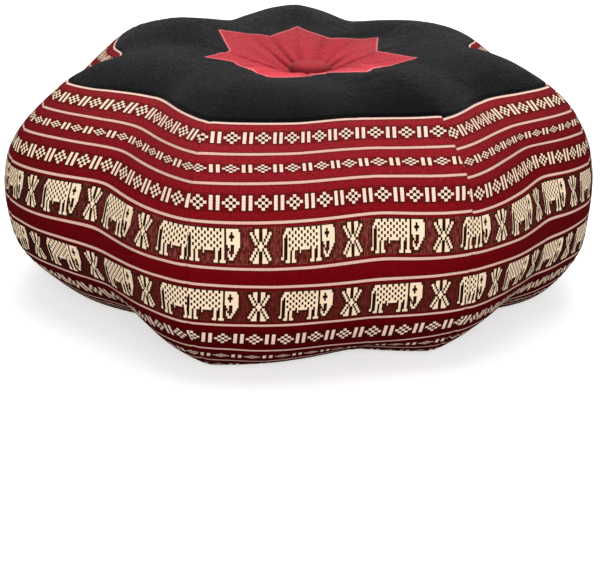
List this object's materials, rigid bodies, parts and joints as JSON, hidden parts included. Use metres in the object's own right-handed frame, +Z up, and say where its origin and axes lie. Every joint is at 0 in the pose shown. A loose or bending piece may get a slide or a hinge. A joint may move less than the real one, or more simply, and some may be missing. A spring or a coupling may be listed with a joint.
{
  "type": "zafu",
  "caption": "Round filled floor cushion with drawn-in lobes, a tufted crown under a covered button and a flat underside to rest on.",
  "frame": {"origin": "on the floor, under the middle of the flat underside", "axes": "+Z up out of the crown, -Y towards the side shown in front"},
  "size_m": [0.3958, 0.4161, 0.1707],
  "materials": {
    "patterned_cotton": "matte woven cotton: plain black top, patterned red side with pale woven bands",
    "red_cotton": "matte plain woven cotton"
  },
  "bodies": {
    "root": {"cushion": "patterned_cotton", "top_button": "red_cotton"}
  },
  "joints": []
}
